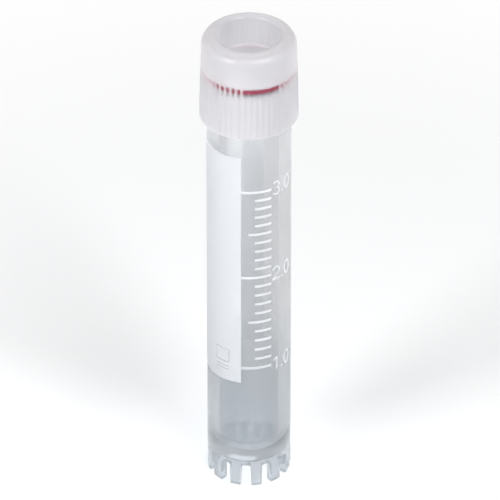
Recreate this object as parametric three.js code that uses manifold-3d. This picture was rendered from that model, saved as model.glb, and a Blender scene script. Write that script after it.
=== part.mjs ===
// Cryovial: a self-standing sample tube with an outside thread, its screw cap and the sealing washer.
// Millimetres, +Z up, origin at the middle of the foot's underside.
import * as THREE from "three";
import { mergeVertices } from "three/addons/utils/BufferGeometryUtils.js";
import Module from "manifold-3d";

// Vial: tube, floor and neck
const vialHeight = 70.6; // foot to rim
const tubeDiameter = 12.5;
const tubeWall = 1.675; // at the mouth
const boreTaper = 0.12; // how much smaller the bore's radius is at its foot
const bowlDepth = 3.6; // rounded end of the bore
const floorThickness = 1.6; // at the axis
const neckLength = 6.7; // rim down to the shoulder
const shoulderDrop = 0.5; // height of the sloping shoulder
const rimChamfer = 0.25;

// Vial: hollow foot, with notches round its skirt
const footHeight = 4.2;
const footWall = 1.3;
const footChamfer = 0.3;
const domeDrop = 1.4; // how far the floor's underside hangs into the foot
const notchCount = 12;
const notchBearing = -94.5; // degrees from +X to the first notch's middle
const notchShare = 0.5; // of each notch's pitch
const notchRoof = 0.4; // skirt left above a notch
const notchCorner = 0.4;

// Two-start thread
const threadStarts = 2;
const threadPitch = 2.4; // ridge to ridge
const threadDepth = 0.45;
const threadRelief = 0.05; // crest below the tube's outside
const ridgeRootShare = 0.5; // of the pitch
const ridgeCrestShare = 0.2; // of the pitch
const ridgeEndClear = 0.3; // from a ridge's flank to the end of its wall
const ridgeFadeTurns = 0.09; // over which a ridge rises from its wall

// Washer
const washerThickness = 0.8;
const washerInset = 0.3; // from the mouth of the bore, radial
const washerEdge = 0.12;

// Screw cap
const capSkirtWall = 0.93; // outside the thread's root, at the skirt's end
const capTaper = 0.35; // how much smaller the radius is at the top
const skirtLap = 0.8; // past the vial's shoulder
const skirtEdge = 0.35;
const skirtFlare = 0.08; // how much wider the skirt's mouth is than the thread's root
const capShoulderRadius = 1.75;
const wellDepth = 4.8;
const wellWall = 2.3; // between the well's mouth and the cap's outside
const wellTaper = 0.25; // how much smaller the well's radius is at its floor
const wellFloor = 0.8;
const lipRadius = 0.5;
const ribCount = 52;
const ribDepth = 0.1;
const ribDrop = 5; // cap top down to the ribs' upper end
const ribBedding = 0.04; // the ribs' valleys stand this far above the wall they grow from
const pocketStep = 0.15; // between the thread's root and the washer's pocket, radial

// Clearances
const threadClearance = 0.2; // radial, crest to root
const flankClearance = 0.2; // axial, between the bearing flanks
const pocketClearance = 0.1; // washer to cap, radial
const pocketRise = 0.4; // pocket starts this far below the rim

// Smoothness of round shapes
const roundSegments = 48;
const ridgeSegments = 32; // in one turn
const sunk = 0.35; // how deep a ridge or rib is rooted in its wall
const buried = 0.05; // how far below its wall a ridge fades at its ends

// Worked out from the sizes above
const tubeRadius = tubeDiameter / 2;
const boreRadius = tubeRadius - tubeWall;
const boreFootRadius = boreRadius - boreTaper;
const shoulderZ = vialHeight - neckLength;
const neckCrest = tubeRadius - threadRelief;
const neckRoot = neckCrest - threadDepth;
const capRoot = neckCrest + threadClearance;
const capCrest = neckRoot + threadClearance;
const pocketRadius = capRoot - pocketStep;
const floorUnderside = vialHeight + washerThickness;
const wellFloorZ = floorUnderside + wellFloor;
const capTop = wellFloorZ + wellDepth;
const capBottom = shoulderZ - skirtLap;
const skirtRadius = capRoot + capSkirtWall;
const lead = threadPitch * threadStarts;
const ridgeRoot = threadPitch * ridgeRootShare;
const ridgeCrest = threadPitch * ridgeCrestShare;
const flankSlope = (ridgeRoot - ridgeCrest) / 2 / threadDepth;
const ridgeOffset = (ridgeRoot + ridgeCrest) / 2 - flankSlope * threadClearance + flankClearance;

const wasm = await Module();
wasm.setup();

// The cap's outside radius at a height: a straight taper from the skirt's end to the top.
function capRadius(z) {
  return skirtRadius - (capTaper * (z - capBottom)) / (capTop - capBottom);
}

function point(radius, z) {
  return new THREE.Vector2(radius, z);
}

// Points on an elliptical arc of a section, from one angle to another.
function arc(centreRadius, centreZ, radiusR, radiusZ, from, to, steps) {
  const curve = new THREE.EllipseCurve(centreRadius, centreZ, radiusR, radiusZ, from, to, to < from);
  return curve.getPoints(steps);
}

// A section turned about +Z.
function turned(section, segments = roundSegments) {
  return new THREE.LatheGeometry(section, segments).rotateX(Math.PI / 2);
}

function solidOf(geometry) {
  const plain = geometry.clone();
  plain.deleteAttribute("normal");
  plain.deleteAttribute("uv");
  const merged = mergeVertices(plain, 1e-4);
  return new wasm.Manifold(
    new wasm.Mesh({
      numProp: 3,
      vertProperties: new Float32Array(merged.attributes.position.array),
      triVerts: new Uint32Array(merged.index.array),
    }),
  );
}

function geometryOf(solid) {
  const mesh = solid.getMesh();
  const geometry = new THREE.BufferGeometry();
  geometry.setAttribute("position", new THREE.BufferAttribute(mesh.vertProperties, 3));
  geometry.setIndex(new THREE.BufferAttribute(mesh.triVerts, 1));
  return geometry.toNonIndexed();
}

// One thread ridge: a box bent along a right-hand helix. Its middle passes height `zeroZ` at angle 0.
// `inner` and `outer` give the radius and axial width of its two long faces; `shrink` says which
// of them sinks back into the wall at the ridge's two ends.
function threadRidge({ fromZ, toZ, zeroZ, startAngle, inner, outer, shrink }) {
  const turns = (toZ - fromZ) / lead;
  const segments = Math.ceil(turns * ridgeSegments);
  const geometry = new THREE.BoxGeometry(1, 1, 1, segments, 1, 1);
  const position = geometry.attributes.position;
  for (let i = 0; i < position.count; i += 1) {
    const along = position.getX(i) + 0.5;
    const face = position.getZ(i) > 0 ? outer : inner;
    const z = fromZ + along * (toZ - fromZ);
    const angle = ((z - zeroZ) / lead) * 2 * Math.PI + startAngle;
    const fade = Math.min(1, (along * turns) / ridgeFadeTurns, ((1 - along) * turns) / ridgeFadeTurns);
    const radius = face === shrink ? face.buried + fade * (face.radius - face.buried) : face.radius;
    position.setXYZ(
      i,
      radius * Math.cos(angle),
      radius * Math.sin(angle),
      z + position.getY(i) * face.width,
    );
  }
  return geometry;
}

function withRidges(solid, ridge) {
  let result = solid;
  for (let start = 0; start < threadStarts; start += 1) {
    const startAngle = (start / threadStarts) * 2 * Math.PI;
    result = result.add(solidOf(threadRidge({ ...ridge, startAngle })));
  }
  return result;
}

// Section of the vial: domed underside, skirt, outside, neck, rim, bore and its rounded end.
function vialSection() {
  const skirtInside = tubeRadius - footWall;
  const insideFloor = footHeight - domeDrop + floorThickness;
  const bowlTop = insideFloor + bowlDepth;
  return [
    ...arc(0, footHeight, skirtInside, domeDrop, -Math.PI / 2, 0, 6),
    point(skirtInside, 0),
    point(tubeRadius - footChamfer, 0),
    point(tubeRadius, footChamfer),
    point(tubeRadius, shoulderZ - shoulderDrop),
    point(neckRoot, shoulderZ),
    point(neckRoot, vialHeight - rimChamfer),
    point(neckRoot - rimChamfer, vialHeight),
    point(boreRadius + rimChamfer, vialHeight),
    point(boreRadius, vialHeight - rimChamfer),
    ...arc(0, bowlTop, boreFootRadius, bowlDepth, 0, -Math.PI / 2, 8),
  ];
}

// One notch of the foot, on +X: a slot with rounded upper corners, cut outwards through the skirt.
// The cut starts a tenth of the wall inside it and ends nearly a whole wall outside it.
function notchGeometry() {
  const width = notchShare * ((2 * Math.PI * tubeRadius) / notchCount);
  const height = footHeight - notchRoof;
  const half = width / 2;
  const corner = Math.min(notchCorner, half);
  const outline = new THREE.Shape();
  outline.moveTo(-half, -1);
  outline.lineTo(half, -1);
  outline.lineTo(half, height - corner);
  outline.absarc(half - corner, height - corner, corner, 0, Math.PI / 2);
  outline.lineTo(corner - half, height);
  outline.absarc(corner - half, height - corner, corner, Math.PI / 2, Math.PI);
  outline.closePath();
  const depth = footWall * 2;
  const slot = new THREE.ExtrudeGeometry(outline, { depth, bevelEnabled: false, curveSegments: 3 });
  slot.rotateX(Math.PI / 2);
  slot.translate(0, tubeRadius - footWall * 1.1 + depth, 0);
  return slot.rotateZ(-Math.PI / 2);
}

function vialBody() {
  let solid = solidOf(turned(vialSection()));
  for (let i = 0; i < notchCount; i += 1) {
    const bearing = notchBearing + (i * 360) / notchCount;
    const notch = notchGeometry().rotateZ(THREE.MathUtils.degToRad(bearing));
    solid = solid.subtract(solidOf(notch));
  }
  const crest = { radius: neckCrest, buried: neckRoot - buried, width: ridgeCrest };
  return geometryOf(
    withRidges(solid, {
      fromZ: shoulderZ + ridgeRoot / 2 + ridgeEndClear,
      toZ: vialHeight - rimChamfer - ridgeRoot / 2 - ridgeEndClear,
      zeroZ: shoulderZ,
      inner: { radius: neckRoot - sunk, width: ridgeRoot },
      outer: crest,
      shrink: crest,
    }),
  );
}

// Section of the cap: floor's underside, washer pocket, skirt, outside, shoulder, lip and well.
function capSection() {
  const pocketZ = vialHeight - pocketRise;
  const ribTop = capTop - ribDrop;
  const ribFoot = capBottom + skirtEdge;
  const recess = ribDepth + ribBedding;
  const shoulder = Math.min(capShoulderRadius, wellWall - lipRadius * 1.5, wellDepth);
  const shoulderRadius = capRadius(capTop - shoulder);
  const mouth = capRadius(capTop) - wellWall;
  return [
    point(0, floorUnderside),
    point(pocketRadius, floorUnderside),
    point(pocketRadius, pocketZ),
    point(capRoot, pocketZ - pocketStep),
    point(capRoot, capBottom + skirtEdge),
    point(capRoot + skirtFlare, capBottom),
    ...arc(skirtRadius - skirtEdge, ribFoot, skirtEdge, skirtEdge, -Math.PI / 2, 0, 3),
    point(capRadius(ribFoot) - recess, ribFoot + recess),
    point(capRadius(ribTop) - recess, ribTop - recess),
    point(capRadius(ribTop), ribTop),
    ...arc(shoulderRadius - shoulder, capTop - shoulder, shoulder, shoulder, 0, Math.PI / 2, 5),
    ...arc(mouth + lipRadius, capTop - lipRadius, lipRadius, lipRadius, Math.PI / 2, Math.PI, 3),
    ...arc(mouth - wellTaper - lipRadius, wellFloorZ + lipRadius, lipRadius, lipRadius, 0, -Math.PI / 2, 3),
    point(0, wellFloorZ),
  ];
}

// The grip: a ring whose outside zigzags between rib crests, on the taper, and valleys.
function ribRing() {
  const top = capTop - ribDrop - ribDepth;
  const foot = capBottom + skirtEdge + ribDepth;
  const topInside = capRadius(top) - ribDepth - sunk;
  const footInside = capRadius(foot) - ribDepth - sunk;
  const ring = turned(
    [
      point(footInside, foot),
      point(capRadius(foot), foot),
      point(capRadius(top), top),
      point(topInside, top),
      point(footInside, foot),
    ],
    ribCount * 2,
  );
  const position = ring.attributes.position;
  for (let i = 0; i < position.count; i += 1) {
    const radius = Math.hypot(position.getX(i), position.getY(i));
    const step = Math.round((Math.atan2(position.getY(i), position.getX(i)) * ribCount) / Math.PI);
    if (Math.abs(step) % 2 === 1 && radius > capRadius(top) - ribDepth) {
      const valley = (radius - ribDepth) / radius;
      position.setXY(i, position.getX(i) * valley, position.getY(i) * valley);
    }
  }
  return ring;
}

function screwCap() {
  const solid = solidOf(turned(capSection())).add(solidOf(ribRing()));
  const crest = { radius: capCrest, buried: capRoot + buried, width: ridgeCrest };
  return geometryOf(
    withRidges(solid, {
      fromZ: shoulderZ + ridgeRoot / 2 + ridgeEndClear,
      toZ: vialHeight - pocketRise - ridgeRoot / 2 - ridgeEndClear,
      zeroZ: shoulderZ - ridgeOffset,
      inner: crest,
      outer: { radius: capRoot + sunk, width: ridgeRoot },
      shrink: crest,
    }),
  );
}

// Flat ring with lightly rounded edges, between the vial's rim and the floor of the cap's well.
function sealingWasher() {
  const inside = boreRadius + washerInset;
  const outside = pocketRadius - pocketClearance;
  const section = [
    point(inside + washerEdge, vialHeight),
    point(outside - washerEdge, vialHeight),
    point(outside, vialHeight + washerEdge),
    point(outside, floorUnderside - washerEdge),
    point(outside - washerEdge, floorUnderside),
    point(inside + washerEdge, floorUnderside),
    point(inside, floorUnderside - washerEdge),
    point(inside, vialHeight + washerEdge),
    point(inside + washerEdge, vialHeight),
  ];
  return turned(section);
}

function piece(name, geometry, look) {
  const mesh = new THREE.Mesh(geometry, new THREE.MeshStandardMaterial({ metalness: 0, ...look }));
  mesh.name = name;
  return mesh;
}

const cryovial = new THREE.Group();
cryovial.name = "cryovial";
cryovial.add(
  piece("vial_body", vialBody(), { color: 0xc3c8d0, roughness: 0.35, transparent: true, opacity: 0.6 }),
  piece("screw_cap", screwCap(), { color: 0xe0dde2, roughness: 0.4, transparent: true, opacity: 0.7 }),
  piece("sealing_washer", sealingWasher(), { color: 0xa83450, roughness: 0.6 }),
);

export default cryovial;
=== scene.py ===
import math

import bpy
import numpy as np
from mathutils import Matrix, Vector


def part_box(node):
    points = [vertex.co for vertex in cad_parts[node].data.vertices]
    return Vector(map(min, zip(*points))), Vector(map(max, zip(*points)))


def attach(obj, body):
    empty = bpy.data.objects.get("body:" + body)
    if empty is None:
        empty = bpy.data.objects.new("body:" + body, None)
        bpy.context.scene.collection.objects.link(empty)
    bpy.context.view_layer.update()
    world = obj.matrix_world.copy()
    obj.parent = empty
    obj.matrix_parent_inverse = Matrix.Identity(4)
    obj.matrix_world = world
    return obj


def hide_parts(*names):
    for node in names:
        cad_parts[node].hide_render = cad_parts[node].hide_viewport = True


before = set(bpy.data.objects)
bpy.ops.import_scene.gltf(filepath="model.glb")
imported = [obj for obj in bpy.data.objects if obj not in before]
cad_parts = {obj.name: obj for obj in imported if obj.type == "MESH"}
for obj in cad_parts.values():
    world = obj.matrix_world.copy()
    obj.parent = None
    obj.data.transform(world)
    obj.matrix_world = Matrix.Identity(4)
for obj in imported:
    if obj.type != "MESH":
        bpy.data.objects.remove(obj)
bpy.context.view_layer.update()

mm = 0.001
vialHigh = np.array(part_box("vial_body")[1])
capLow, capHigh = (np.array(corner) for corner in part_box("screw_cap"))
washerLow, washerHigh = (np.array(corner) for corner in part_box("sealing_washer"))
print("frame loaded")


class Wire:
    # One output socket. Arithmetic on it adds Math nodes to its graph.
    def __init__(self, graph, socket):
        self.graph = graph
        self.socket = socket

    def joined(self, operation, other, swapped=False):
        pair = (other, self) if swapped else (self, other)
        return self.graph.add("ShaderNodeMath", {"operation": operation}, {0: pair[0], 1: pair[1]})[0]

    def __add__(self, other):
        return self.joined("ADD", other)

    def __radd__(self, other):
        return self.joined("ADD", other, True)

    def __sub__(self, other):
        return self.joined("SUBTRACT", other)

    def __rsub__(self, other):
        return self.joined("SUBTRACT", other, True)

    def __mul__(self, other):
        return self.joined("MULTIPLY", other)

    def __rmul__(self, other):
        return self.joined("MULTIPLY", other, True)


class Outputs:
    # The outputs of one node, by number or by name, as wires.
    def __init__(self, graph, node):
        self.graph = graph
        self.node = node

    def __getitem__(self, key):
        return Wire(self.graph, self.node.outputs[key])


class Graph:
    # A node tree with one way to add a node: its type, its settings, then its sockets' values or links.
    def __init__(self, tree):
        self.tree = tree
        tree.nodes.clear()

    def add(self, kind, settings=None, sockets=None):
        node = self.tree.nodes.new(kind)
        for name, value in (settings or {}).items():
            setattr(node, name, value)
        for key, value in (sockets or {}).items():
            if isinstance(value, Wire):
                self.tree.links.new(value.socket, node.inputs[key])
            else:
                node.inputs[key].default_value = value
        return Outputs(self, node)

    def show(self, shader, output="ShaderNodeOutputMaterial"):
        self.add(output, None, {"Surface": shader})


# An empty node material and its graph.
def newMaterial(name):
    material = bpy.data.materials.new(name)
    material.use_nodes = True
    return material, Graph(material.node_tree)


# A mesh on a grid of points, rows x columns x 3. Face (r, c) joins the points (r, c), (r, c+1),
# (r+1, c+1), (r+1, c), so it faces along column direction x row direction. Columns wrap round, rows
# wrap if asked, and a pole row is one point joined to its neighbour row by triangles.
def gridArrays(points, wrapRows=False, poles=(False, False)):
    rows, columns = points.shape[:2]
    index = np.arange(rows * columns).reshape(rows, columns)
    lower = index if wrapRows else index[:-1]
    upper = np.roll(index, -1, axis=0) if wrapRows else index[1:]
    body = slice(1 if poles[0] else 0, len(lower) - (1 if poles[1] else 0))
    lower, upper = lower[body], upper[body]
    quads = np.stack([lower, np.roll(lower, -1, 1), np.roll(upper, -1, 1), upper], axis=-1).reshape(-1, 4)
    triangles = np.zeros((0, 3), int)
    if poles[0]:
        first = np.full(columns, index[0, 0])
        triangles = np.vstack([triangles, np.stack([first, np.roll(index[1], -1), index[1]], -1)])
    if poles[1]:
        last = np.full(columns, index[-1, 0])
        triangles = np.vstack([triangles, np.stack([index[-2], np.roll(index[-2], -1), last], -1)])
    return points.reshape(-1, 3), quads, triangles


# One mesh object from quads and triangles: unused points are dropped, sizes go from mm to metres,
# and every face is smooth apart from edges sharper than the angle.
def meshObject(name, vertices, quads, triangles, sharp=40):
    used = np.unique(np.concatenate([quads.ravel(), triangles.ravel()]))
    renumbered = np.zeros(len(vertices), int)
    renumbered[used] = np.arange(len(used))
    corners = np.concatenate([renumbered[quads].ravel(), renumbered[triangles].ravel()])
    totals = np.concatenate([np.full(len(quads), 4), np.full(len(triangles), 3)])
    starts = np.concatenate([[0], np.cumsum(totals)[:-1]])
    mesh = bpy.data.meshes.new(name)
    mesh.vertices.add(len(used))
    mesh.vertices.foreach_set("co", (vertices[used] * mm).astype(np.float32).ravel())
    mesh.loops.add(len(corners))
    mesh.loops.foreach_set("vertex_index", corners.astype(np.int32))
    mesh.polygons.add(len(totals))
    mesh.polygons.foreach_set("loop_start", starts.astype(np.int32))
    mesh.update(calc_edges=True)
    mesh.validate()
    mesh.shade_smooth()
    mesh.set_sharp_from_angle(angle=math.radians(sharp))
    piece = bpy.data.objects.new(name, mesh)
    bpy.context.scene.collection.objects.link(piece)
    return piece


# An outline in (radius, height) with rounded corners. Each corner is (radius, height, rounding);
# a rounding is an arc tangent to both sides, and straight stretches get points near their ends and
# every `stride`.
def roundedOutline(corners, stride=1.0, closed=False, arcSteps=6):
    places = [np.array(corner[:2], float) for corner in corners]
    count = len(places)
    pieces = []
    for i in range(count):
        if not closed and i in (0, count - 1):
            pieces.append([places[i]])
            continue
        before, here, after = places[i - 1], places[i], places[(i + 1) % count]
        inward = (before - here) / np.linalg.norm(before - here)
        onward = (after - here) / np.linalg.norm(after - here)
        half = math.acos(np.clip(inward @ onward, -1, 1)) / 2
        rounding = corners[i][2]
        if rounding == 0 or half > math.radians(89.5):
            pieces.append([here])
            continue
        reach = rounding / math.tan(half)
        centre = here + (inward + onward) / np.linalg.norm(inward + onward) * rounding / math.sin(half)
        startArm = here + inward * reach - centre
        endArm = here + onward * reach - centre
        turn = math.atan2(startArm[0] * endArm[1] - startArm[1] * endArm[0], startArm @ endArm)
        angles = np.linspace(0, turn, arcSteps + 1)
        cosine, sine = np.cos(angles), np.sin(angles)
        across = np.array([-startArm[1], startArm[0]])
        pieces.append([centre + startArm * c + across * s for c, s in zip(cosine, sine)])
    outline = []
    for i, group in enumerate(pieces):
        outline.extend(group)
        if i == count - 1 and not closed:
            break
        start, end = group[-1], pieces[(i + 1) % count][0]
        length = np.linalg.norm(end - start)
        if length < 0.05:
            continue
        near = min(0.06, length * 0.2)
        steps = max(1, int(math.ceil((length - 2 * near) / stride)))
        shares = np.linspace(near, length - near, steps + 1) / length
        outline.extend(start + (end - start) * share for share in shares)
    return np.array(outline)


# The outline turned about Z: x = r cos a, y = r sin a, with r and z free to change with the angle.
def turnedPoints(radius, height, angles):
    radius = np.broadcast_to(radius, (len(radius), len(angles)))
    height = np.broadcast_to(height, radius.shape)
    return np.stack([radius * np.cos(angles), radius * np.sin(angles), height], axis=-1)


# 3v^2 - 2v^3 with v held to 0..1: a soft step from 0 to 1.
def smooth(value):
    value = np.clip(value, 0, 1)
    return value * value * (3 - 2 * value)


thread = {
    "pitch": 2.4,
    "starts": 2,
    "depth": 0.45,
    "relief": 0.05,
    "clearance": 0.2,
    "flankClearance": 0.2,
    "rootShare": 0.5,
    "crestShare": 0.2,
    "endClear": 0.3,
    "fadeTurns": 0.09,
}
tubeRadius = vialHigh[0] / mm
rimZ = vialHigh[2] / mm
capTopZ = capHigh[2] / mm
capBottomZ = capLow[2] / mm
skirtRadius = capHigh[0] / mm
floorUndersideZ = washerHigh[2] / mm
neckLength = 6.7
shoulderZ = rimZ - neckLength
neckCrest = tubeRadius - thread["relief"]
neckRoot = neckCrest - thread["depth"]
capRoot = neckCrest + thread["clearance"]
ridgeRoot = thread["pitch"] * thread["rootShare"]
ridgeCrest = thread["pitch"] * thread["crestShare"]
lead = thread["pitch"] * thread["starts"]


# How far a thread ridge stands up at an angle and a height: 1 on the crest, sloping to 0 over the
# flanks, and fading out at both ends of the ridge. The ridges climb one lead in a turn.
def ridgeShare(angles, height, zeroZ, fromZ, toZ):
    fromMiddle = (height - zeroZ - lead * angles / (2 * math.pi) + thread["pitch"] / 2) % thread["pitch"]
    fromMiddle = fromMiddle - thread["pitch"] / 2
    flank = (ridgeRoot / 2 - np.abs(fromMiddle)) / ((ridgeRoot - ridgeCrest) / 2)
    middleZ = height - fromMiddle
    fade = thread["fadeTurns"] * lead
    ends = np.minimum((middleZ - fromZ) / fade, (toZ - middleZ) / fade)
    return smooth(flank * 0.92 + 0.04) * smooth(ends)


vial = {
    "wall": 1.675,
    "boreTaper": 0.12,
    "bowlDepth": 3.6,
    "floor": 1.6,
    "shoulderDrop": 0.5,
    "neckStep": 0.08,
    "rimEdge": 0.25,
    "footHeight": 4.2,
    "footWall": 1.3,
    "footInnerEdge": 0.12,
    "footEdge": 0.3,
    "domeDrop": 1.4,
    "notches": 12,
    "notchBearing": -94.5,
    "notchRoof": 0.4,
    "notchCorner": 0.5,
}


# Angles for the vial's columns: in each notch's pitch, close steps over the notch's two edges.
def vialAngles():
    half = 0.25
    pitch = np.concatenate([
        np.linspace(-half + 0.03, half - 0.03, 9),
        np.linspace(half - 0.02, half + 0.02, 5),
        np.linspace(half + 0.03, 1 - half - 0.03, 9),
        np.linspace(1 - half - 0.02, 1 - half + 0.02, 5),
    ])
    turns = (np.arange(vial["notches"])[:, None] + pitch).ravel() / vial["notches"]
    return turns * 2 * math.pi + math.radians(vial["notchBearing"]), np.tile(pitch, vial["notches"])


# Height of the foot's lower edge round the vial: 0 on a tooth, up to the roof in a notch, with
# quarter-round upper corners.
def notchLift(pitch):
    across = np.abs((pitch + 0.5) % 1 - 0.5)
    edge = 2 * math.pi * tubeRadius / vial["notches"] * (0.25 - across)
    corner = vial["notchCorner"]
    roof = vial["footHeight"] - vial["notchRoof"]
    inside = np.clip(edge, 0, corner)
    rounded = roof - corner + np.sqrt(corner ** 2 - (corner - inside) ** 2)
    return np.where(edge > 0, rounded, 0) * smooth(edge / 0.04 + 0.5)


# The vial's outline turned about Z: under the dome, round the foot, up the wall and the neck, over
# the rim and down the bore to the bowl. The ridges add to the neck's radius, and each notch squeezes
# the foot's heights upwards: z + lift x (1 - z / foot height).
def vialPiece():
    inside = tubeRadius - vial["footWall"]
    bore = tubeRadius - vial["wall"]
    boreFoot = bore - vial["boreTaper"]
    floorZ = vial["footHeight"] - vial["domeDrop"] + vial["floor"]
    bowlTop = floorZ + vial["bowlDepth"]
    swing = np.linspace(0, math.pi / 2, 19)
    dome = np.stack([inside * np.sin(swing), vial["footHeight"] - vial["domeDrop"] * np.cos(swing)], -1)
    foot = roundedOutline([
        (*dome[-1], 0),
        (inside, 0, vial["footInnerEdge"]),
        (tubeRadius, 0, vial["footEdge"]),
        (tubeRadius, vial["footHeight"], 0),
    ], 0.6)
    wall = roundedOutline([
        (tubeRadius, vial["footHeight"], 0),
        (tubeRadius, shoulderZ - vial["shoulderDrop"], 0.3),
        (neckRoot, shoulderZ, 0.2),
        (neckRoot, shoulderZ + 0.35, 0),
    ], 1.5)
    neckRows = np.arange(shoulderZ + 0.4, rimZ - 0.45, vial["neckStep"])
    neck = np.stack([np.full_like(neckRows, neckRoot), neckRows], -1)
    rim = roundedOutline([
        (neckRoot, rimZ - 0.4, 0),
        (neckRoot, rimZ, vial["rimEdge"]),
        (bore, rimZ, vial["rimEdge"]),
        (boreFoot, bowlTop, 0),
    ], 1.5)
    bowl = np.stack([boreFoot * np.cos(swing), bowlTop - vial["bowlDepth"] * np.sin(swing)], -1)
    outline = np.vstack([dome, foot[1:], wall[1:], neck, rim, bowl[1:]])
    angles, pitch = vialAngles()
    radius, height = outline[:, :1], outline[:, 1:]
    onNeck = (np.abs(radius - neckRoot) < 1e-6) & (height > shoulderZ + 0.3)
    ridge = ridgeShare(angles, height, shoulderZ, shoulderZ + ridgeRoot / 2 + thread["endClear"],
                       rimZ - vial["rimEdge"] - ridgeRoot / 2 - thread["endClear"])
    radius = radius + onNeck * ridge * thread["depth"]
    lift = notchLift(pitch)
    onSkirt = (radius > inside - 1e-6) & (height < vial["footHeight"])
    height = np.where(onSkirt, lift + height * (1 - lift / vial["footHeight"]), height)
    points = turnedPoints(radius, height, angles)
    return meshObject("vial", *gridArrays(points, poles=(True, True)))


cap = {
    "taper": 0.35,
    "mouthHeight": 0.45,
    "mouthFlare": 0.08,
    "mouthEdge": 0.12,
    "skirtEdge": 0.35,
    "shoulder": 1.75,
    "wellWall": 2.3,
    "wellTaper": 0.25,
    "wellFloor": 0.8,
    "lip": 0.5,
    "grooveRadius": 5.95,
    "grooveWidth": 0.22,
    "grooveDepth": 0.13,
    "ribs": 52,
    "ribDepth": 0.085,
    "ribPeak": 2.5,
    "ribDrop": 5.0,
    "ribEndFade": 0.2,
    "ribStart": 0.3,
    "ribStartFade": 0.25,
    "ribBearing": 1.55,
    "splineDepth": 0.05,
    "splineEndFade": 0.3,
    "splineStart": 0.3,
    "splineStartFade": 0.2,
    "pocketRise": 0.4,
    "pocketStep": 0.15,
    "pocketEdge": 0.12,
    "threadStep": 0.1,
    "columnsPerRib": 8,
}


# The cap's outside radius at a height: it narrows evenly from the skirt's edge to the top.
def capRadius(height):
    return skirtRadius - cap["taper"] * (height - capBottomZ) / (capTopZ - capBottomZ)


# The cap's outline turned about Z: out along the washer's pocket, down the threaded bore, round the
# skirt's edge, up the outside and down the well. The bore loses the thread's ridges, the outside loses
# the valleys between the ribs, 1 - (0.5 + 0.5 cos)^peak, the well loses its shallow splines, and the
# top loses a bell-shaped groove, exp(-((r - groove) / width)^2), round the lip.
def capPiece():
    pocket = capRoot - cap["pocketStep"]
    pocketZ = rimZ - cap["pocketRise"]
    wellFloorZ = floorUndersideZ + cap["wellFloor"]
    mouth = capRadius(capTopZ) - cap["wellWall"]
    ribTop = capTopZ - cap["ribDrop"]
    inner = roundedOutline([
        (0, floorUndersideZ, 0),
        (pocket, floorUndersideZ, cap["pocketEdge"]),
        (pocket, pocketZ, 0),
        (capRoot, pocketZ - cap["pocketStep"], 0),
    ], 1.0)
    threadRows = np.arange(pocketZ - cap["pocketStep"] - 0.05, capBottomZ + 0.5, -cap["threadStep"])
    threaded = np.stack([np.full_like(threadRows, capRoot), threadRows], -1)
    outer = roundedOutline([
        (capRoot, capBottomZ + cap["mouthHeight"], 0),
        (capRoot + cap["mouthFlare"], capBottomZ, cap["mouthEdge"]),
        (skirtRadius, capBottomZ, cap["skirtEdge"]),
        (capRadius(ribTop), ribTop, 0),
        (capRadius(capTopZ), capTopZ, cap["shoulder"]),
        (mouth, capTopZ, cap["lip"]),
        (mouth - cap["wellTaper"], wellFloorZ, cap["lip"]),
        (0, wellFloorZ, 0),
    ], 0.5, arcSteps=14)
    outline = np.vstack([inner, threaded, outer])
    columns = cap["ribs"] * cap["columnsPerRib"]
    angles = np.arange(columns) / columns * 2 * math.pi + math.radians(cap["ribBearing"] - 90)
    radius, height = outline[:, :1], outline[:, 1:]
    offset = (ridgeRoot + ridgeCrest) / 2 + thread["flankClearance"]
    offset = offset - (ridgeRoot - ridgeCrest) / 2 / thread["depth"] * thread["clearance"]
    onThread = (np.abs(radius - capRoot) < 1e-6) & (height < pocketZ - 0.1) & (height > capBottomZ + 0.48)
    ridge = ridgeShare(angles, height, shoulderZ - offset, shoulderZ + ridgeRoot / 2 + thread["endClear"],
                       pocketZ - ridgeRoot / 2 - thread["endClear"])
    cut = onThread * ridge * thread["depth"]
    outside = (radius > capRadius(height) - 0.02) & (height < ribTop + 0.3)
    ribFoot = capBottomZ + cap["ribStart"]
    along = smooth((ribTop - height) / cap["ribEndFade"])
    along = along * smooth((height - ribFoot) / cap["ribStartFade"])
    wave = 0.5 + 0.5 * np.cos(cap["ribs"] * (angles - angles[0]))
    valley = 1 - wave ** cap["ribPeak"]
    inWell = (radius < mouth + 0.02) & (height > wellFloorZ - 0.01)
    spline = smooth((capTopZ - cap["lip"] - height) / cap["splineEndFade"])
    spline = spline * smooth((height - wellFloorZ - cap["splineStart"]) / cap["splineStartFade"]) * inWell
    radius = radius - cut - outside * along * valley * cap["ribDepth"]
    radius = radius - spline * wave * cap["splineDepth"]
    groove = np.exp(-((radius - cap["grooveRadius"]) / cap["grooveWidth"]) ** 2)
    height = height - (height > capTopZ - cap["shoulder"] / 2) * groove * cap["grooveDepth"]
    points = turnedPoints(radius, height, angles)
    return meshObject("cap", *gridArrays(points, poles=(True, True)))


washer = {"inside": 4.875, "edge": 0.12, "gap": 0.01, "bulge": 0.01, "columns": 192}


# A ring with rounded edges, squeezed outwards until it presses into the pocket's wall, so that no
# air lies between them. It keeps just clear of the faces above and below.
def washerPiece():
    low, high = washerLow[2] / mm + washer["gap"], floorUndersideZ - washer["gap"]
    outside = capRoot - cap["pocketStep"] + washer["bulge"]
    outline = roundedOutline([
        (washer["inside"], low, washer["edge"]),
        (outside, low, washer["edge"]),
        (outside, high, washer["edge"]),
        (washer["inside"], high, washer["edge"]),
    ], 0.5, closed=True)
    angles = np.arange(washer["columns"]) / washer["columns"] * 2 * math.pi
    points = turnedPoints(outline[:, :1], outline[:, 1:], angles)
    return meshObject("washer", *gridArrays(points, wrapRows=True))


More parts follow.
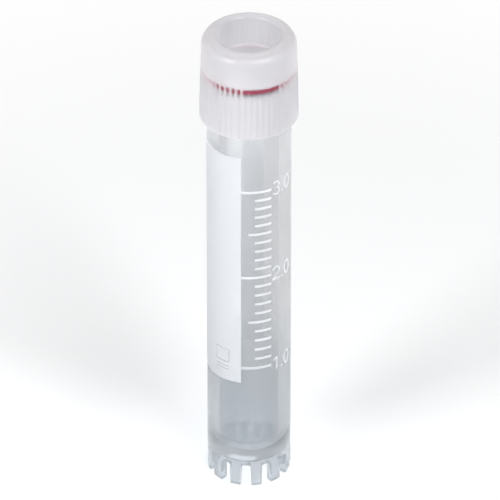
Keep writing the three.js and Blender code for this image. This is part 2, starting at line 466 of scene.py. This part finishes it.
ink = {"bedded": 0.015, "proud": 0.02}
patch = {"low": 19.0, "high": 59.2, "left": -208.0, "right": -11.0}
scale = {
    "firstZ": 21.7,
    "step": 16.85,
    "shrink": 0.55,
    "marksPerMl": 10,
    "first": 1.0,
    "last": 3.0,
    "line": 0.4,
    "right": 31.9,
    "minorLeft": 8.0,
    "mediumLeft": -1.0,
    "majorLeft": -10.8,
}
numbers = {"height": 2.2, "stroke": 0.3, "left": 34.0, "gap": 0.32, "cell": 0.6, "pointCell": 0.2}
tickBox = {"proud": 0.012, "bearing": -39.0, "low": 22.3, "size": 2.3, "line": 0.2, "bars": (21.5, 21.0)}


# A ribbon of ink on the tube: a path in (distance round, height) in mm, as wide as `width`, bedded
# a little in the wall and standing a little proud of it. Distance round is radius x angle from -Y.
def inkRibbon(path, width, closed=False, lift=0):
    path = np.asarray(path, float)
    if closed:
        along = np.roll(path, -1, 0) - np.roll(path, 1, 0)
    else:
        along = np.gradient(path, axis=0)
    along = along / np.linalg.norm(along, axis=1)[:, None]
    across = np.stack([-along[:, 1], along[:, 0]], -1) * width / 2
    levels = (tubeRadius - ink["bedded"], tubeRadius + ink["proud"] + lift)
    left, right = path + across, path - across
    rails = [(left, levels[1]), (right, levels[1]), (right, levels[0]), (left, levels[0])]
    points = []
    for rail, level in rails:
        bearing = rail[:, 0] / tubeRadius
        points.append(np.stack([level * np.sin(bearing), -level * np.cos(bearing), rail[:, 1]], -1))
    count = len(path)
    index = np.arange(4 * count).reshape(4, count)
    upper = np.roll(index, -1, 0)
    if closed:
        quads = np.stack([index, upper, np.roll(upper, -1, 1), np.roll(index, -1, 1)], -1).reshape(-1, 4)
    else:
        quads = np.stack([index[:, :-1], upper[:, :-1], upper[:, 1:], index[:, 1:]], -1).reshape(-1, 4)
        quads = np.vstack([quads, index[::-1, 0], index[:, -1]])
    return np.concatenate(points), quads


# One mesh from several ribbons.
def inkPiece(name, ribbons):
    vertices, quads, base = [], [], 0
    for points, faces in ribbons:
        vertices.append(points)
        quads.append(faces + base)
        base += len(points)
    return meshObject(name, np.vstack(vertices), np.vstack(quads), np.zeros((0, 3), int), 30)


# The distance round the tube of a bearing: radius x angle.
def roundDistance(degrees):
    return math.radians(degrees) * tubeRadius


# A level ribbon between two bearings.
def levelRibbon(left, right, height, width, lift=0):
    steps = max(2, int(abs(right - left) / 1.5) + 1)
    distance = np.linspace(roundDistance(left), roundDistance(right), steps)
    return inkRibbon(np.stack([distance, np.full(steps, height)], -1), width, lift=lift)


# The writing patch: one ribbon as wide as the patch is high.
def patchPiece():
    middle, high = (patch["low"] + patch["high"]) / 2, patch["high"] - patch["low"]
    return inkPiece("writing_patch", [levelRibbon(patch["left"], patch["right"], middle, high)])


# Height of a volume's mark: first + step x over - shrink x over^2, because equal volumes lie closer
# together as the bore widens upwards.
def markHeight(volume):
    over = volume - scale["first"]
    return scale["firstZ"] + scale["step"] * over - scale["shrink"] * over ** 2


# The graduations: a level line for each tenth of a mL, longer at each half and longest at each whole.
def scalePiece():
    ribbons = []
    count = round((scale["last"] - scale["first"]) * scale["marksPerMl"])
    for i in range(count + 1):
        volume = scale["first"] + i / scale["marksPerMl"]
        if i % 10 == 0:
            left = scale["majorLeft"]
        elif i % 5 == 0:
            left = scale["mediumLeft"]
        else:
            left = scale["minorLeft"]
        ribbons.append(levelRibbon(left, scale["right"], markHeight(volume), scale["line"]))
    return inkPiece("graduations", ribbons)


# Points on an elliptical arc, in degrees.
def arcPath(centre, radii, start, end, steps=14):
    angles = np.radians(np.linspace(start, end, steps))
    return np.stack([centre[0] + radii[0] * np.cos(angles), centre[1] + radii[1] * np.sin(angles)], -1)


# Strokes of a numeral in a cell 0.6 wide and 1 high.
def numeralStrokes(character):
    if character == "0":
        return [(arcPath((0.3, 0.5), (0.28, 0.5), 0, 350, 28), True)]
    if character == "1":
        return [
            (np.array([[0.36, 0.0], [0.36, 0.5], [0.36, 1.0]]), False),
            (np.array([[0.12, 0.78], [0.24, 0.87], [0.36, 0.98]]), False),
        ]
    if character == "2":
        bowl = arcPath((0.3, 0.71), (0.27, 0.29), 165, -35)
        return [
            (np.vstack([bowl, [[0.03, 0.02]]]), False),
            (np.array([[0.0, 0.03], [0.3, 0.03], [0.6, 0.03]]), False),
        ]
    if character == "3":
        return [
            (arcPath((0.28, 0.75), (0.25, 0.25), 150, -90), False),
            (arcPath((0.28, 0.26), (0.28, 0.26), 90, -150), False),
        ]
    return [(np.array([[0.07, 0.05], [0.1, 0.05], [0.14, 0.05]]), False)]  # point


# The whole volumes beside their marks: each numeral's strokes, as high as the numbers' height, set
# side by side from the left edge.
def numbersPiece():
    ribbons = []
    for volume in ("1.0", "2.0", "3.0"):
        cursor = roundDistance(numbers["left"])
        base = markHeight(float(volume)) - numbers["height"] / 2
        for character in volume:
            for stroke, closed in numeralStrokes(character):
                path = stroke * numbers["height"] + (cursor, base)
                ribbons.append(inkRibbon(path, numbers["stroke"], closed))
            cell = numbers["pointCell"] if character == "." else numbers["cell"]
            cursor += cell * numbers["height"] + numbers["gap"]
    return inkPiece("volume_numbers", ribbons)


# A small open square to tick, with two short writing lines under it.
def tickBoxPiece():
    middle = roundDistance(tickBox["bearing"])
    half = tickBox["size"] / 2
    low, high = tickBox["low"], tickBox["low"] + tickBox["size"]
    left = math.degrees((middle - half) / tubeRadius)
    right = math.degrees((middle + half) / tubeRadius)
    lift = tickBox["proud"]
    levels = (low, high, *tickBox["bars"])
    ribbons = [levelRibbon(left, right, level, tickBox["line"], lift) for level in levels]
    for side in (-half, half):
        path = [[middle + side, low], [middle + side, (low + high) / 2], [middle + side, high]]
        ribbons.append(inkRibbon(path, tickBox["line"], lift=lift))
    return inkPiece("tick_box", ribbons)


# One Math node on one value.
def maths(graph, operation, value):
    return graph.add("ShaderNodeMath", {"operation": operation}, {0: value})[0]


# 0 below `low`, 1 above `high` and smooth between them.
def ramped(graph, value, low, high):
    return graph.add("ShaderNodeMapRange", {"interpolation_type": "SMOOTHSTEP"}, {
        "Value": value, "From Min": low, "From Max": high,
    })[0]


# The same with `low` and `high` in mm.
def stepped(graph, value, low, high):
    return ramped(graph, value, low * mm, high * mm)


# The height of a point: its z.
def heightOf(graph, place):
    return graph.add("ShaderNodeSeparateXYZ", None, {0: place})["Z"]


# The distance of a point from the axis: the length of (x, y, 0).
def radiusOf(graph, place):
    flat = graph.add("ShaderNodeVectorMath", {"operation": "MULTIPLY"}, {0: place, 1: (1, 1, 0)})[0]
    return graph.add("ShaderNodeVectorMath", {"operation": "LENGTH"}, {0: flat})["Value"]


# The first colour where the share is 0, the second where it is 1, and a straight blend between.
def blended(graph, share, first, second):
    return graph.add("ShaderNodeMix", {"data_type": "RGBA"}, {"Factor": share, 6: first, 7: second})[2]


# The same for two shaders.
def mixed(graph, share, first, second):
    return graph.add("ShaderNodeMixShader", None, {0: share, 1: first, 2: second})[0]


# Smooth noise over a place, about 0.5, with `scale` waves in a metre.
def noisy(graph, place, scale, detail):
    values = {"Vector": place, "Scale": scale, "Detail": detail}
    return graph.add("ShaderNodeTexNoise", None, values)["Fac"]


# A bump of a strength, as high as `distance`, in metres, where the height is 1.
def bumped(graph, height, strength, distance):
    values = {"Strength": strength, "Distance": distance, "Height": height}
    return graph.add("ShaderNodeBump", None, values)[0]


# A plain light of a colour and a strength, as an Emission or a Background node.
def glowing(graph, kind, colour, strength):
    return graph.add(kind, None, {"Color": colour, "Strength": strength})[0]


# Light spread evenly by a milky body, half back and half onwards, under a shining skin.
def scattering(graph, colour, roughness, bump):
    lit = graph.add("ShaderNodeBsdfPrincipled", None, {
        "Base Color": colour, "Roughness": roughness, "IOR": plastic["index"], "Normal": bump,
    })[0]
    backlit = graph.add("ShaderNodeBsdfTranslucent", None, {"Color": colour, "Normal": bump})[0]
    return mixed(graph, plastic["onwards"], lit, backlit)


# The vial's share of milk, which is even, and its tone: 0, deep, towards the foot, and 1, pale, above. The
# deep tone low down is painted shade.
def vialShares(graph, place):
    return vialLook["milk share"], stepped(graph, heightOf(graph, place), *vialLook["tone heights"])


# The cap's share of milk and its tone, which is deeper inside the well as painted shade. It is milky in
# its skirt and more so in its thick top, but clearer in the well and clear where the wall lies on the
# washer, apart from painted highlights between the ribs.
def capShares(graph, place):
    height, radius = heightOf(graph, place), radiusOf(graph, place)
    shares = capLook["milk shares"]
    pocketZ = rimZ - cap["pocketRise"]
    over = stepped(graph, height, pocketZ, pocketZ + capLook["window edge"])
    under = stepped(graph, height, *capLook["roof heights"])
    window = over * (1 - under) * highlightDotShare(graph, place)
    top = stepped(graph, height, *capLook["top heights"])
    well = top * (1 - stepped(graph, radius, *capLook["well radii"]))
    outer = shares["skirt"] + top * (shares["top"] - shares["skirt"])
    share = outer + well * (shares["well"] - shares["top"])
    return share - window * shares["skirt"], 0.5 + well * (capLook["well tone"] - 0.5)


# Where the wall is clear over the washer: 1 in a stretch round the front, where the red line shows whole.
# Elsewhere it is 1 at each rib and 0 between, as a cosine of the bearing has it, times a factor that falls
# to 0 away from the front. The milky wall between the ribs is a painted highlight on the rib flanks, which
# breaks the red line into dots.
def highlightDotShare(graph, place):
    parts = graph.add("ShaderNodeSeparateXYZ", None, {0: place})
    bearing = graph.add("ShaderNodeMath", {"operation": "ARCTAN2"}, {0: parts["X"], 1: 0 - parts["Y"]})[0]
    wave = maths(graph, "COSINE", (bearing - math.radians(cap["ribBearing"])) * cap["ribs"])
    dots = ramped(graph, wave, *highlightDots["dot edges"])
    ahead = 1 - ramped(graph, maths(graph, "ABSOLUTE", bearing), *np.radians(highlightDots["sides"]))
    offset = maths(graph, "ABSOLUTE", bearing - math.radians(highlightDots["middle"]))
    beyond = ramped(graph, offset, *np.radians((highlightDots["half"], highlightDots["half"] + highlightDots["fade"])))
    return 1 - beyond * (1 - dots * ahead)


# Milky moulded plastic: a share of the light is scattered, to both sides, and the rest goes through or
# shines off the surface. Its tone blends a deep and a pale copy of each colour. The pieces' shares put
# painted shade into it, and faint flow marks along Z shift it too. The skin has a satin grain.
# Where it has depth, a long way through it takes more light than a short one.
# A shadow ray goes straight through, a little dimmed, so that the lamps light what is inside.
def milkyPlastic(name, look):
    material, graph = newMaterial(name)
    place = graph.add("ShaderNodeTexCoord")["Object"]
    stretch = {0: place, 1: look["flow scale"]}
    flow = noisy(graph, graph.add("ShaderNodeVectorMath", {"operation": "MULTIPLY"}, stretch)[0], 1.0, 2.0)
    grain = noisy(graph, place, plastic["grain scale"], 1.0)
    bump = bumped(graph, grain, plastic["grain"], plastic["grain height"])
    share, tone = look["shares"](graph, place)
    tone = tone + look["flow depth"] * (flow - 0.5)
    clear = graph.add("ShaderNodeBsdfPrincipled", None, {
        "Base Color": blended(graph, tone, look["deep clear"], look["pale clear"]),
        "Roughness": look["roughness"] + plastic["flow gloss"] * flow,
        "IOR": plastic["index"],
        "Transmission Weight": 1.0,
        "Normal": bump,
    })[0]
    deep = scattering(graph, look["deep milk"], look["roughness"], bump)
    pale = scattering(graph, look["pale milk"], look["roughness"], bump)
    solid = mixed(graph, share, clear, mixed(graph, tone, deep, pale))
    veil = graph.add("ShaderNodeBsdfTransparent", None, {"Color": look["veil"]})[0]
    rays = graph.add("ShaderNodeLightPath")
    output = {"Surface": mixed(graph, rays["Is Shadow Ray"], solid, veil)}
    if look["depth"]:
        depth = {"Color": look["depth tint"], "Density": look["depth"]}
        output["Volume"] = graph.add("ShaderNodeVolumeAbsorption", None, depth)[0]
    graph.add("ShaderNodeOutputMaterial", None, output)
    return material


# Red silicone with faint mottling, and a matt skin as fine as its dust.
def siliconeFinish():
    material, graph = newMaterial("red_silicone")
    place = graph.add("ShaderNodeTexCoord")["Object"]
    dust = noisy(graph, place, silicone["dust scale"], 3.0)
    tint = blended(graph, dust, silicone["deep"], silicone["pale"])
    bump = bumped(graph, dust, silicone["grain"], silicone["grain height"])
    graph.show(graph.add("ShaderNodeBsdfPrincipled", None, {
        "Base Color": tint,
        "Roughness": silicone["roughness"] + silicone["dust gloss"] * dust,
        "Specular IOR Level": silicone["shine"],
        "Normal": bump,
    })[0])
    return material


# Screen-printed ink: a nearly flat colour with a faint uneven lay and a dry, slightly rough skin.
# It is thin, so part of the light from the other side comes through, less from the wall's side.
def inkFinish(name, look):
    material, graph = newMaterial(name)
    place = graph.add("ShaderNodeTexCoord")["Object"]
    lay = noisy(graph, place, inkSkin["lay scale"], 4.0)
    tint = blended(graph, lay, look["full"], look["thin"])
    grain = noisy(graph, place, inkSkin["grain scale"], 2.0)
    bump = bumped(graph, grain, inkSkin["grain"], inkSkin["grain height"])
    solid = graph.add("ShaderNodeBsdfPrincipled", None, {
        "Base Color": tint,
        "Roughness": inkSkin["roughness"] + inkSkin["lay gloss"] * lay,
        "Alpha": look["cover"],
        "Normal": bump,
    })[0]
    backlit = graph.add("ShaderNodeBsdfTranslucent", None, {"Color": look["full"], "Normal": bump})[0]
    outer = stepped(graph, radiusOf(graph, place), tubeRadius, tubeRadius + ink["proud"] / 2)
    through = look["through"] * outer + look["inner through"] * (1 - outer)
    graph.show(mixed(graph, through, solid, backlit))
    return material


# Gives a piece its material and its body, and hides the CAD nodes that it stands for.
def place(piece, material, body, slot, *nodes):
    piece.data.materials.append(material)
    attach(piece, body)
    if nodes:
        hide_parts(*nodes)


plastic = {
    "index": 1.49,
    "onwards": 0.5,
    "grain scale": 5200.0,
    "grain": 0.06,
    "grain height": 0.00003,
    "flow gloss": 0.06,
}
# The vial's deep colours are painted shade towards the foot, and they also take the flow marks.
vialLook = {
    "pale clear": (0.709, 0.712, 0.716, 1),
    "deep clear": (0.607, 0.633, 0.658, 1),
    "pale milk": (0.740, 0.744, 0.748, 1),
    "deep milk": (0.516, 0.537, 0.559, 1),
    "veil": (0.950, 0.960, 0.970, 1),
    "depth tint": (0.0, 0.05, 0.1, 1),
    "depth": 30.0,
    "flow depth": 0.5,
    "flow scale": (260, 260, 22),
    "shares": vialShares,
    "milk share": 0.189,
    "tone heights": (13.0, 34.0),
    "roughness": 0.08,
}
# The cap's deep colours are painted shade inside the well, at the well tone, and they also take the flow
# marks.
capLook = {
    "pale clear": (0.605, 0.604, 0.618, 1),
    "deep clear": (0.447, 0.446, 0.457, 1),
    "pale milk": (0.739, 0.737, 0.754, 1),
    "deep milk": (0.581, 0.580, 0.593, 1),
    "veil": (0.9, 0.89, 0.9, 1),
    "depth": 0.0,
    "flow depth": 0.5,
    "flow scale": (260, 260, 60),
    "shares": capShares,
    "milk shares": {"skirt": 0.635, "top": 0.705, "well": 0.426},
    "window edge": 0.25,
    "roof heights": (71.85, 72.05),
    "top heights": (71.85, 72.2),
    "well radii": (4.7, 5.2),
    "well tone": 0.1,
    "roughness": 0.3,
}
# Where the red line shows whole, and how painted highlights between the ribs break it into dots round it,
# in degrees from the front.
highlightDots = {"middle": 13.7, "half": 19.8, "fade": 3.0, "dot edges": (-0.5, 0.3), "sides": (35.0, 58.0)}
silicone = {
    "deep": (0.25, 0.008, 0.045, 1),
    "pale": (0.31, 0.014, 0.065, 1),
    "dust scale": 1500.0,
    "grain": 0.1,
    "grain height": 0.00002,
    "roughness": 0.5,
    "dust gloss": 0.1,
    "shine": 0.2,
}
inkSkin = {
    "lay scale": 700.0,
    "lay gloss": 0.15,
    "roughness": 0.5,
    "grain scale": 9000.0,
    "grain": 0.15,
    "grain height": 0.00001,
}
white = {"full": (0.93, 0.94, 0.96, 1), "thin": (0.90, 0.91, 0.93, 1)}
grey = {"full": (0.50, 0.51, 0.52, 1), "thin": (0.58, 0.59, 0.60, 1)}
vialPlastic = milkyPlastic("vial_plastic", vialLook)
capPlastic = milkyPlastic("cap_plastic", capLook)
whiteInk = inkFinish("white_ink", white | {"through": 0.622, "inner through": 0.100, "cover": 1.0})
fineInk = inkFinish("fine_white_ink", white | {"through": 0.3, "inner through": 0.3, "cover": 0.45})
greyInk = inkFinish("grey_ink", grey | {"through": 0.2, "inner through": 0.2, "cover": 1.0})

place(vialPiece(), vialPlastic, "vial", "vial_plastic", "vial_body")
print("vial made")
place(capPiece(), capPlastic, "cap", "cap_plastic", "screw_cap")
print("cap made")
place(washerPiece(), siliconeFinish(), "washer", "washer_silicone", "sealing_washer")
print("washer made")
place(patchPiece(), whiteInk, "vial", "vial_plastic")
place(scalePiece(), fineInk, "vial", "vial_plastic")
place(numbersPiece(), fineInk, "vial", "vial_plastic")
place(tickBoxPiece(), greyInk, "vial", "vial_plastic")
print("print made")


studio = {
    "white": (1, 1, 1, 1),
    "skyTint": (0.96, 0.98, 1.0, 1),
    "sky": 0.429,
    "ceiling": 0.75,
    "overhead": (0.1, 0.7),
    "lampAim": 0.04,
    "floorOwn": 0.157,
    "floorShade": 0.660,
    "floorPlain": (0.850, 0.850, 0.858, 1),
    # Radii within which the floor's own light is left out: a painted shadow under the foot.
    "bareFoot": (5.0, 7.4),
    "farFloor": (60.0, 150.0),
    "cardPlace": (-0.065, -0.085, 0),
    "cardReach": (50.0, 25.0),
    "cardLight": 4.0,
}


# A pale floor that shows as white where nothing shades it. To the camera, and in gloss and through
# plastic, part of its light is its own, so that only a soft shadow is left, and far away it is plain
# white. Under the foot its own light is left out, which paints a darker shadow there. As a light it is
# plain. Seen from below it is not there, and in gloss it also shows a glowing card on the left in front.
def makeFloor():
    bpy.ops.mesh.primitive_plane_add(size=6.0, location=(0, 0, -0.0001))
    floor = bpy.context.object
    floor.name = "floor"
    material, graph = newMaterial("floor")
    rays = graph.add("ShaderNodeLightPath")
    plain = graph.add("ShaderNodeBsdfDiffuse", None, {"Color": studio["floorPlain"]})[0]
    shade = studio["floorShade"]
    shaded = graph.add("ShaderNodeBsdfDiffuse", None, {"Color": (shade, shade, shade, 1)})[0]
    place = graph.add("ShaderNodeTexCoord")["Object"]
    own = glowing(graph, "ShaderNodeEmission", studio["white"], studio["floorOwn"])
    pale = graph.add("ShaderNodeAddShader", None, {0: shaded, 1: own})[0]
    reach = radiusOf(graph, place)
    # Under the foot only the shaded part shows: a painted shadow.
    near = mixed(graph, stepped(graph, reach, *studio["bareFoot"]), shaded, pale)
    far = glowing(graph, "ShaderNodeEmission", studio["white"], 1.0)
    seen = mixed(graph, stepped(graph, reach, *studio["farFloor"]), near, far)
    away = graph.add("ShaderNodeVectorMath", {"operation": "DISTANCE"}, {0: place, 1: studio["cardPlace"]})
    nearCard = stepped(graph, away["Value"], *studio["cardReach"])
    card = glowing(graph, "ShaderNodeEmission", studio["white"], studio["cardLight"])
    shown = mixed(graph, rays["Is Glossy Ray"] * nearCard, seen, card)
    solid = mixed(graph, rays["Is Diffuse Ray"], shown, plain)
    below = rays["Is Camera Ray"] * graph.add("ShaderNodeNewGeometry")["Backfacing"]
    graph.show(mixed(graph, below, solid, graph.add("ShaderNodeBsdfTransparent")[0]))
    floor.data.materials.append(material)


# White up to a little above the horizon, and a greyer room above, as gloss and clear plastic show it.
def makeWorld():
    world = bpy.data.worlds.new("studio")
    bpy.context.scene.world = world
    world.use_nodes = True
    graph = Graph(world.node_tree)
    rays = graph.add("ShaderNodeLightPath")
    direction = graph.add("ShaderNodeTexCoord")["Generated"]
    rise = graph.add("ShaderNodeSeparateXYZ", None, {0: direction})["Z"]
    wall = glowing(graph, "ShaderNodeBackground", studio["white"], 1.0)
    ceiling = glowing(graph, "ShaderNodeBackground", studio["white"], studio["ceiling"])
    room = glowing(graph, "ShaderNodeBackground", studio["skyTint"], studio["sky"])
    shown = mixed(graph, ramped(graph, rise, *studio["overhead"]), wall, ceiling)
    graph.show(mixed(graph, rays["Is Diffuse Ray"], shown, room), "ShaderNodeOutputWorld")


# An area lamp at a bearing round the object and a height angle, facing the point it lights.
def makeLamp(name, bearing, rise, distance, size, power):
    data = bpy.data.lights.new(name, "AREA")
    data.shape = "RECTANGLE"
    data.size, data.size_y = size
    data.energy = power
    lamp = bpy.data.objects.new(name, data)
    side, up = math.radians(bearing), math.radians(rise)
    out, high = math.cos(up) * distance, math.sin(up) * distance
    lamp.location = (math.sin(side) * out, -math.cos(side) * out, high + studio["lampAim"])
    lamp.rotation_euler = (math.pi / 2 - up, 0, side)
    bpy.context.scene.collection.objects.link(lamp)


camera = {"elevation": 34.5, "distance": 1.25, "lens": 607.0, "aimHeight": 38.77, "aimSide": 0.15}


# A long lens in front, raised by its elevation angle and aimed at the middle of the object.
def makeCamera():
    data = bpy.data.cameras.new("camera")
    data.lens = camera["lens"]
    data.sensor_width = 36.0
    data.clip_start, data.clip_end = 0.05, 20.0
    view = bpy.data.objects.new("camera", data)
    up = math.radians(camera["elevation"])
    view.location = (
        camera["aimSide"] * mm,
        -math.cos(up) * camera["distance"],
        math.sin(up) * camera["distance"] + camera["aimHeight"] * mm,
    )
    view.rotation_euler = (math.pi / 2 - up, 0, 0)
    bpy.context.scene.collection.objects.link(view)
    bpy.context.scene.camera = view


makeFloor()
makeWorld()
makeLamp("key", 38, 42, 0.9, (0.4, 0.4), 6.692)
makeLamp("side", -50, 32, 0.35, (0.12, 0.12), 0.885)
makeLamp("back", 171, 24, 0.9, (0.5, 0.4), 0.800)
makeCamera()
bpy.context.scene.view_settings.view_transform = "Standard"
print("floor, light and camera made")
